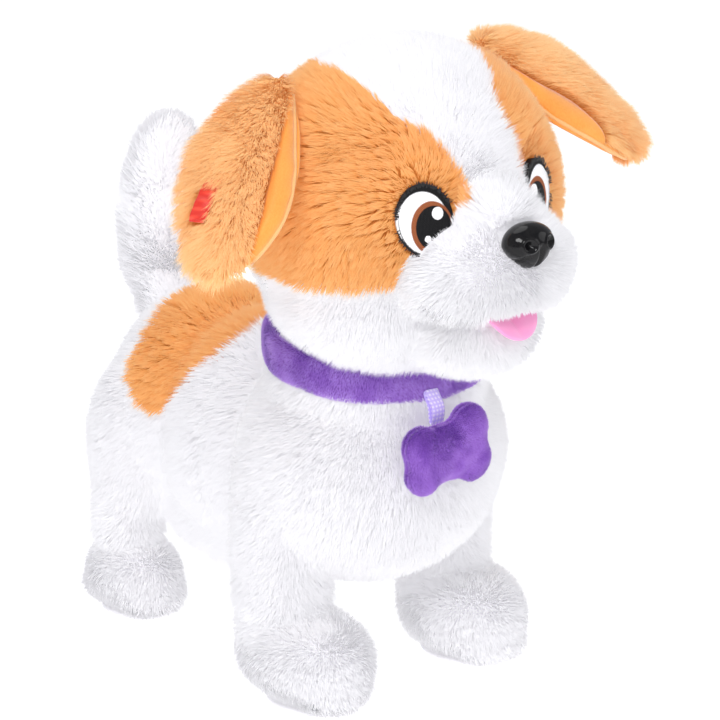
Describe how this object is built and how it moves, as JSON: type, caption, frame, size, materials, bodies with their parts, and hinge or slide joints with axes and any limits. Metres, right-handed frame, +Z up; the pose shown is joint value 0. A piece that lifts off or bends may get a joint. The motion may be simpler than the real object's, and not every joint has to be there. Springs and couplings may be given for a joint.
{
  "type": "interactive plush pet",
  "caption": "Standing plush puppy with floppy ears, collar and bone charm, over a motorised walking frame with nodding head and wagging tail.",
  "frame": {"origin": "bottom centre of the bounding box, on the floor under the middle of the puppy", "axes": "+Z up, the puppy faces -Y, its own left side is +X"},
  "size_m": [0.1871, 0.2444, 0.2417],
  "materials": {
    "battery_wrap": "shrink wrap",
    "black_gloss": "polished",
    "black_plastic": "moulded",
    "board_green": "solder mask",
    "brass": "machined",
    "cream_plastic": "moulded",
    "ear_plush": "fluffy pile",
    "eye_thread": "embroidered satin stitch",
    "grey_plastic": "moulded",
    "grey_plastic_light": "moulded",
    "lilac_satin": "satin ribbon",
    "orange_lining": "short satin pile",
    "pink_cloth": "smooth felt",
    "purple_minky": "short pile",
    "red_satin": "satin",
    "sole_felt": "felt",
    "steel": "plain",
    "tan_plush": "fluffy pile",
    "white_plush": "fluffy pile"
  },
  "bodies": {
    "torso": {"battery_1": "battery_wrap", "battery_2": "battery_wrap", "battery_3": "battery_wrap", "battery_tray": "grey_plastic", "body_plush": "white_plush", "chassis_left": "grey_plastic", "chassis_right": "grey_plastic", "circuit_board": "board_green", "collar": "purple_minky", "contact_plate_front": "steel", "contact_plate_rear": "steel", "drive_motor": "steel", "hip_pin_front": "steel", "hip_pin_rear": "steel", "idler_axle": "steel", "neck_pin": "steel", "neck_post": "grey_plastic", "ribbon_loop": "lilac_satin", "speaker": "steel", "tail_pin": "steel"},
    "battery_cover": {"battery_door": "grey_plastic_light", "door_screw": "steel"},
    "charm": {"bone_charm": "purple_minky"},
    "crank": {"crank_disc_left": "cream_plastic", "crank_disc_right": "cream_plastic", "crank_shaft": "cream_plastic"},
    "ear_left": {"ear_left_lining": "orange_lining", "ear_left_plush": "ear_plush"},
    "ear_right": {"ear_patch": "red_satin", "ear_right_lining": "orange_lining", "ear_right_plush": "ear_plush", "ear_switch_base": "cream_plastic"},
    "ear_button": {"ear_switch_button": "black_plastic"},
    "head": {"eye_left": "eye_thread", "eye_right": "eye_thread", "head_frame": "grey_plastic", "head_plush": "tan_plush", "nose": "black_gloss", "nose_washer": "grey_plastic", "tongue": "pink_cloth"},
    "idler": {"idler_gear": "cream_plastic"},
    "leg_front_left": {"leg_lever_front_left": "grey_plastic", "leg_plush_front_left": "white_plush", "sole_front_left": "sole_felt"},
    "leg_front_right": {"leg_lever_front_right": "grey_plastic", "leg_plush_front_right": "white_plush", "sole_front_right": "sole_felt"},
    "leg_rear_left": {"leg_lever_rear_left": "grey_plastic", "leg_plush_rear_left": "white_plush", "sole_rear_left": "sole_felt"},
    "leg_rear_right": {"leg_lever_rear_right": "grey_plastic", "leg_plush_rear_right": "white_plush", "sole_rear_right": "sole_felt"},
    "motor_drive": {"motor_pinion": "brass"},
    "power_switch": {"power_switch_knob": "black_plastic"},
    "tail": {"tail_lever": "cream_plastic", "tail_plush": "white_plush"},
    "tie_rod_left_link": {"tie_rod_left": "cream_plastic"},
    "tie_rod_right_link": {"tie_rod_right": "cream_plastic"}
  },
  "joints": [
    {"name": "front_right_leg_swing", "type": "hinge", "parent": "torso", "child": "leg_front_right", "pos_m": [0, -0.02603, 0.072], "axis": [1, 0, 0], "range_deg": [-8, 8]},
    {"name": "rear_right_leg_swing", "type": "hinge", "parent": "torso", "child": "leg_rear_right", "pos_m": [0, 0.07597, 0.072], "axis": [1, 0, 0], "range_deg": [-8, 8]},
    {"name": "front_left_leg_swing", "type": "hinge", "parent": "torso", "child": "leg_front_left", "pos_m": [0, -0.02603, 0.072], "axis": [1, 0, 0], "range_deg": [-8, 8]},
    {"name": "rear_left_leg_swing", "type": "hinge", "parent": "torso", "child": "leg_rear_left", "pos_m": [0, 0.07597, 0.072], "axis": [1, 0, 0], "range_deg": [-8, 8]},
    {"name": "right_rod_pivot", "type": "hinge", "parent": "leg_front_right", "child": "tie_rod_right_link", "pos_m": [0, -0.02603, 0.092], "axis": [1, 0, 0], "range_deg": [-8, 8]},
    {"name": "left_rod_pivot", "type": "hinge", "parent": "leg_front_left", "child": "tie_rod_left_link", "pos_m": [0, -0.02603, 0.092], "axis": [1, 0, 0], "range_deg": [-8, 8]},
    {"name": "crank_turn", "type": "hinge", "parent": "torso", "child": "crank", "pos_m": [0, 0.02397, 0.08], "axis": [1, 0, 0], "continuous": true},
    {"name": "idler_turn", "type": "hinge", "parent": "torso", "child": "idler", "pos_m": [0, 0.00757, 0.08], "axis": [1, 0, 0], "continuous": true},
    {"name": "pinion_turn", "type": "hinge", "parent": "torso", "child": "motor_drive", "pos_m": [0, -0.00883, 0.08], "axis": [1, 0, 0], "continuous": true},
    {"name": "head_nod", "type": "hinge", "parent": "torso", "child": "head", "pos_m": [0, -0.03403, 0.138], "axis": [-1, 0, 0], "range_deg": [-4, 10]},
    {"name": "ear_right_flap", "type": "hinge", "parent": "head", "child": "ear_right", "pos_m": [-0.04834, -0.04203, 0.22829], "axis": [-0.5555, 0.831, -0.0273], "range_deg": [0, 45]},
    {"name": "ear_left_flap", "type": "hinge", "parent": "head", "child": "ear_left", "pos_m": [0.0416, -0.04203, 0.23159], "axis": [-0.5359, -0.8437, -0.0316], "range_deg": [0, 45]},
    {"name": "ear_press", "type": "slide", "parent": "ear_right", "child": "ear_button", "axis": [-0.6, -0.3779, 0.7051], "range_m": [0, 0.0007], "stiffness_N_per_m": 400},
    {"name": "tail_wag", "type": "hinge", "parent": "torso", "child": "tail", "pos_m": [0, 0.09097, 0.099], "axis": [0, 1, 0], "range_deg": [-15, 15]},
    {"name": "charm_swing", "type": "hinge", "parent": "torso", "child": "charm", "pos_m": [-0.007, -0.07423, 0.114], "axis": [-1, 0, 0], "range_deg": [0, 30]},
    {"name": "battery_cover_lift", "type": "slide", "parent": "torso", "child": "battery_cover", "axis": [0, 0, -1], "range_m": [0, 0.025]},
    {"name": "power_switch_slide", "type": "slide", "parent": "torso", "child": "power_switch", "axis": [1, 0, 0], "range_m": [0, 0.004]}
  ],
  "couplings": [
    {"joint": "rear_right_leg_swing", "follows": "front_right_leg_swing", "ratio": 1},
    {"joint": "front_left_leg_swing", "follows": "front_right_leg_swing", "ratio": -1},
    {"joint": "rear_left_leg_swing", "follows": "front_right_leg_swing", "ratio": -1},
    {"joint": "right_rod_pivot", "follows": "front_right_leg_swing", "ratio": -1},
    {"joint": "left_rod_pivot", "follows": "front_right_leg_swing", "ratio": 1},
    {"joint": "idler_turn", "follows": "crank_turn", "ratio": -3},
    {"joint": "pinion_turn", "follows": "crank_turn", "ratio": 9}
  ]
}
